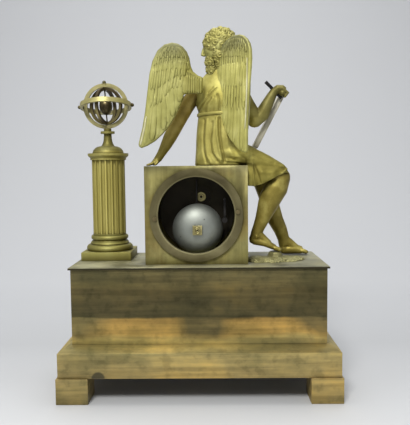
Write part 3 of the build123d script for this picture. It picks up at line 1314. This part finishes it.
TABLET_SLOPE = Vector(1, 0, 0).rotate(Axis.Y, TABLET_TILT)
with BuildPart() as tablet:
    tablet_foot = figure_place(TABLET_FOOT_SHARES)
    tablet_middle = tablet_foot - TABLET_SLOPE * (TABLET_L / 2)
    with BuildSketch(Plane(tablet_middle, TABLET_SLOPE, TABLET_SLOPE.cross(Vector(0, 1, 0)))):
        Rectangle(TABLET_L, TABLET_W)
    extrude(amount=TABLET_T / 2, both=True)
    add(left_leg.part, mode=Mode.SUBTRACT)
    add(right_leg.part, mode=Mode.SUBTRACT)


def wing(plane_shares, outline_shares, outward):
    """A wing as a plate whose root is let into the back."""
    across, back = plane_shares
    origin = figure_place((across, back, 0))
    points = [(out * FIGURE_H, up * FIGURE_H) for out, up in outline_shares]
    with BuildPart() as built:
        with BuildSketch(Plane(origin, outward, outward.cross(Vector(0, 0, 1)))):
            with BuildLine():
                Spline(*points)
                Line(points[-1], points[0])
            make_face()
        extrude(amount=WING_T / 2, both=True)
    return built.part


RIGHT_WING_OUT = Vector(-1, 0, 0).rotate(Axis.Z, -RIGHT_WING_SWEEP)
with BuildPart() as left_wing:
    add(wing(LEFT_WING_PLACE_SHARES, LEFT_WING_SHARES, Vector(1, 0, 0)))
    for neighbour in (figure_torso, figure_head, left_arm):
        add(neighbour.part, mode=Mode.SUBTRACT)

with BuildPart() as right_wing:
    add(wing(RIGHT_WING_PLACE_SHARES, RIGHT_WING_SHARES, RIGHT_WING_OUT))
    for neighbour in (figure_torso, figure_head, right_arm, right_leg, left_wing):
        add(neighbour.part, mode=Mode.SUBTRACT)

with BuildPart() as ground_casting:
    ground_points = [(SEAT_X - out * LEG_REACH, SEAT_Y + back * LEG_REACH) for out, back in GROUND_SHARES]
    with BuildSketch(Plane.XY.offset(DECK_Z)):
        with BuildLine():
            Spline(*ground_points, periodic=True)
        make_face()
    extrude(amount=GROUND_H)
    fillet(ground_casting.edges().group_by(Axis.Z)[-1], GROUND_EDGE)
    block_x = SEAT_X - TOE_BLOCK_SHARES[0] * LEG_REACH
    block_y = SEAT_Y + TOE_BLOCK_SHARES[1] * LEG_REACH
    with BuildSketch(Plane((block_x, block_y, DECK_Z))):
        Rectangle(TOE_BLOCK_W, TOE_BLOCK_D)
    extrude(amount=TOE_BLOCK_H)
    add(case_block, mode=Mode.SUBTRACT)
    for neighbour in (left_leg, right_leg):
        add(neighbour.part, mode=Mode.SUBTRACT)

# Bolts that hold the case, the column and the figure
with BuildPart() as tie_rods:
    for bolt_x, bolt_y in CASE_BOLTS:
        case_floor_z = DECK_Z + CASE_T
        bolt(bolt_x, bolt_y, case_floor_z, case_floor_z + BOLT_HEAD_H, TOP_Z - BOLT_HEAD_H - BOLT_TAIL)
        bolt(bolt_x, bolt_y, TOP_Z - BOLT_HEAD_H, TOP_Z, TOP_Z)
    bolt(COLUMN_X, COLUMN_Y, TOP_Z - BOLT_HEAD_H, TOP_Z, STEM_Z + ROD_GRIP)
    for bolt_x, bolt_y in FIGURE_BOLTS:
        case_top_z = SEAT_Z - CASE_T
        bolt(bolt_x, bolt_y, case_top_z - BOLT_HEAD_H, case_top_z, SEAT_Z + FIGURE_BOLT_GRIP)

PIECES = {
    "feet": feet,
    "lower_plinth": lower_plinth,
    "upper_plinth": upper_plinth,
    "top_plate": top_plate,
    "base_screws": base_screws,
    "column_base": column_base,
    "column_shaft": column_shaft,
    "column_capital": column_capital,
    "sphere_stand": sphere_stand,
    "meridian_ring": meridian_ring,
    "horizon_ring": horizon_ring,
    "colure_ring": colure_ring,
    "globe": globe,
    "case_shell": case_shell,
    "rear_bezel": rear_bezel,
    "strap_screws": strap_screws,
    "movement_straps": movement_straps,
    "front_bezel": front_bezel,
    "glass_bezel": glass_bezel,
    "dial_glass": dial_glass,
    "hinge_pin": hinge_pin,
    "dial": dial,
    "front_plate": front_plate,
    "back_plate": back_plate,
    "pillars": pillars,
    "going_barrel": going_barrel,
    "strike_barrel": strike_barrel,
    "going_arbor": going_arbor,
    "strike_arbor": strike_arbor,
    "centre_wheel": centre_wheel,
    "third_wheel": third_wheel,
    "escape_wheel": escape_wheel,
    "pin_wheel": pin_wheel,
    "count_wheel": count_wheel,
    "hammer": hammer,
    "bell": bell,
    "bell_stand": bell_stand,
    "bell_nut": bell_nut,
    "anchor": anchor,
    "pendulum_rod": pendulum_rod,
    "pendulum_bob": pendulum_bob,
    "suspension_cock": suspension_cock,
    "cannon_pinion": cannon_pinion,
    "minute_wheel": minute_wheel,
    "hour_wheel": hour_wheel,
    "hour_hand": hour_hand,
    "minute_hand": minute_hand,
    "figure_torso": figure_torso,
    "figure_head": figure_head,
    "left_arm": left_arm,
    "right_arm": right_arm,
    "left_leg": left_leg,
    "right_leg": right_leg,
    "left_wing": left_wing,
    "right_wing": right_wing,
    "stylus": stylus,
    "tablet": tablet,
    "ground_casting": ground_casting,
    "tie_rods": tie_rods,
}
for name, piece in PIECES.items():
    piece.part.label = name
    export_step(piece.part, f"parts/{name}.step")
